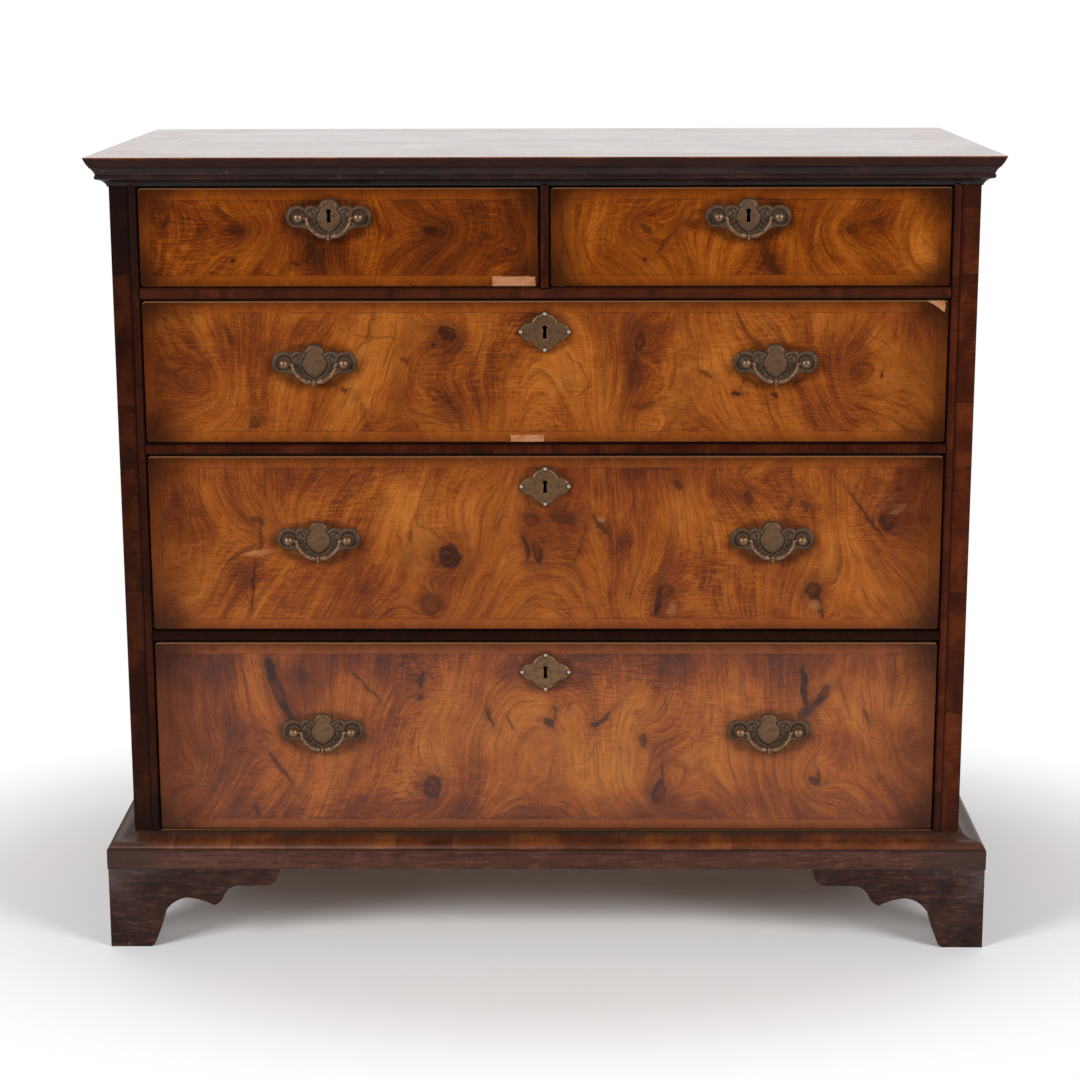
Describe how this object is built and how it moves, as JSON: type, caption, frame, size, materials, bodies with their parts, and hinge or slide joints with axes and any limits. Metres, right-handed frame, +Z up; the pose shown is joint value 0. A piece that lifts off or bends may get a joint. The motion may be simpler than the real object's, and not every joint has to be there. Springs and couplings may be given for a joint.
{
  "type": "chest of drawers",
  "caption": "Chest of drawers in figured walnut: short drawers over long ones, moulded top and base, bracket feet, brass bail handles, and locks that throw a bolt.",
  "frame": {"origin": "on the floor under the middle of the chest, at the middle of its bounding box", "axes": "+X to the right seen from the front, +Y towards the back, +Z up; drawers open towards -Y"},
  "size_m": [0.996, 0.505, 0.894],
  "materials": {
    "walnut_veneer": "figured walnut veneer, waxed",
    "walnut_moulding": "dark cross-grained walnut, waxed",
    "oak": "dry oak, toned by age",
    "pine": "dry pine, toned by age",
    "brass": "dull aged brass",
    "iron": "dark iron"
  },
  "bodies": {
    "carcase": {"top_board": "walnut_veneer", "cornice_moulding": "walnut_moulding", "sub_top": "pine", "side_left": "walnut_veneer", "side_right": "walnut_veneer", "bottom_board": "pine", "back_boards": "pine", "front_facings": "walnut_moulding", "drawer_rails": "pine", "dustboards": "pine", "partition": "pine", "drawer_guides": "pine", "base_moulding": "walnut_moulding", "foot_front_left": "walnut_moulding", "foot_front_right": "walnut_moulding", "foot_rear_left": "walnut_moulding", "foot_rear_right": "walnut_moulding"},
    "drawer_short_left": {"drawer_short_left_front": "walnut_veneer", "drawer_short_left_frame": "oak", "drawer_short_left_bottom": "oak", "drawer_short_left_plates": "brass", "drawer_short_left_posts": "brass", "drawer_short_left_lock": "iron"},
    "drawer_short_left_bolt": {"drawer_short_left_bolt": "iron"},
    "drawer_short_left_bail": {"drawer_short_left_bail": "brass"},
    "drawer_short_right": {"drawer_short_right_front": "walnut_veneer", "drawer_short_right_frame": "oak", "drawer_short_right_bottom": "oak", "drawer_short_right_plates": "brass", "drawer_short_right_posts": "brass", "drawer_short_right_lock": "iron"},
    "drawer_short_right_bolt": {"drawer_short_right_bolt": "iron"},
    "drawer_short_right_bail": {"drawer_short_right_bail": "brass"},
    "drawer_long_upper": {"drawer_long_upper_front": "walnut_veneer", "drawer_long_upper_frame": "oak", "drawer_long_upper_bottom": "oak", "drawer_long_upper_plates": "brass", "drawer_long_upper_posts": "brass", "drawer_long_upper_lock": "iron"},
    "drawer_long_upper_bolt": {"drawer_long_upper_bolt": "iron"},
    "drawer_long_upper_bail_left": {"drawer_long_upper_bail_left": "brass"},
    "drawer_long_upper_bail_right": {"drawer_long_upper_bail_right": "brass"},
    "drawer_long_middle": {"drawer_long_middle_front": "walnut_veneer", "drawer_long_middle_frame": "oak", "drawer_long_middle_bottom": "oak", "drawer_long_middle_plates": "brass", "drawer_long_middle_posts": "brass", "drawer_long_middle_lock": "iron"},
    "drawer_long_middle_bolt": {"drawer_long_middle_bolt": "iron"},
    "drawer_long_middle_bail_left": {"drawer_long_middle_bail_left": "brass"},
    "drawer_long_middle_bail_right": {"drawer_long_middle_bail_right": "brass"},
    "drawer_long_lower": {"drawer_long_lower_front": "walnut_veneer", "drawer_long_lower_frame": "oak", "drawer_long_lower_bottom": "oak", "drawer_long_lower_plates": "brass", "drawer_long_lower_posts": "brass", "drawer_long_lower_lock": "iron"},
    "drawer_long_lower_bolt": {"drawer_long_lower_bolt": "iron"},
    "drawer_long_lower_bail_left": {"drawer_long_lower_bail_left": "brass"},
    "drawer_long_lower_bail_right": {"drawer_long_lower_bail_right": "brass"}
  },
  "joints": [
    {"name": "drawer_short_left_slide", "type": "slide", "parent": "carcase", "child": "drawer_short_left", "axis": [0, -1, 0], "range_m": [0, 0.36]},
    {"name": "drawer_short_left_bolt_throw", "type": "slide", "parent": "drawer_short_left", "child": "drawer_short_left_bolt", "axis": [0, 0, 1], "range_m": [0, 0.008]},
    {"name": "drawer_short_left_bail_swing", "type": "hinge", "parent": "drawer_short_left", "child": "drawer_short_left_bail", "pos_m": [-0.233, -0.2345, 0.82861], "axis": [-1, 0, 0], "range_deg": [-5, 165]},
    {"name": "drawer_short_right_slide", "type": "slide", "parent": "carcase", "child": "drawer_short_right", "axis": [0, -1, 0], "range_m": [0, 0.36]},
    {"name": "drawer_short_right_bolt_throw", "type": "slide", "parent": "drawer_short_right", "child": "drawer_short_right_bolt", "axis": [0, 0, 1], "range_m": [0, 0.008]},
    {"name": "drawer_short_right_bail_swing", "type": "hinge", "parent": "drawer_short_right", "child": "drawer_short_right_bail", "pos_m": [0.22, -0.2345, 0.82861], "axis": [-1, 0, 0], "range_deg": [-5, 165]},
    {"name": "drawer_long_upper_slide", "type": "slide", "parent": "carcase", "child": "drawer_long_upper", "axis": [0, -1, 0], "range_m": [0, 0.36]},
    {"name": "drawer_long_upper_bolt_throw", "type": "slide", "parent": "drawer_long_upper", "child": "drawer_long_upper_bolt", "axis": [0, 0, 1], "range_m": [0, 0.008]},
    {"name": "drawer_long_upper_bail_left_swing", "type": "hinge", "parent": "drawer_long_upper", "child": "drawer_long_upper_bail_left", "pos_m": [-0.252, -0.2345, 0.66992], "axis": [-1, 0, 0], "range_deg": [-5, 165]},
    {"name": "drawer_long_upper_bail_right_swing", "type": "hinge", "parent": "drawer_long_upper", "child": "drawer_long_upper_bail_right", "pos_m": [0.252, -0.2345, 0.66992], "axis": [-1, 0, 0], "range_deg": [-5, 165]},
    {"name": "drawer_long_middle_slide", "type": "slide", "parent": "carcase", "child": "drawer_long_middle", "axis": [0, -1, 0], "range_m": [0, 0.36]},
    {"name": "drawer_long_middle_bolt_throw", "type": "slide", "parent": "drawer_long_middle", "child": "drawer_long_middle_bolt", "axis": [0, 0, 1], "range_m": [0, 0.008]},
    {"name": "drawer_long_middle_bail_left_swing", "type": "hinge", "parent": "drawer_long_middle", "child": "drawer_long_middle_bail_left", "pos_m": [-0.252, -0.2345, 0.47202], "axis": [-1, 0, 0], "range_deg": [-5, 165]},
    {"name": "drawer_long_middle_bail_right_swing", "type": "hinge", "parent": "drawer_long_middle", "child": "drawer_long_middle_bail_right", "pos_m": [0.252, -0.2345, 0.47202], "axis": [-1, 0, 0], "range_deg": [-5, 165]},
    {"name": "drawer_long_lower_slide", "type": "slide", "parent": "carcase", "child": "drawer_long_lower", "axis": [0, -1, 0], "range_m": [0, 0.36]},
    {"name": "drawer_long_lower_bolt_throw", "type": "slide", "parent": "drawer_long_lower", "child": "drawer_long_lower_bolt", "axis": [0, 0, 1], "range_m": [0, 0.008]},
    {"name": "drawer_long_lower_bail_left_swing", "type": "hinge", "parent": "drawer_long_lower", "child": "drawer_long_lower_bail_left", "pos_m": [-0.252, -0.2345, 0.24992], "axis": [-1, 0, 0], "range_deg": [-5, 165]},
    {"name": "drawer_long_lower_bail_right_swing", "type": "hinge", "parent": "drawer_long_lower", "child": "drawer_long_lower_bail_right", "pos_m": [0.252, -0.2345, 0.24992], "axis": [-1, 0, 0], "range_deg": [-5, 165]}
  ]
}
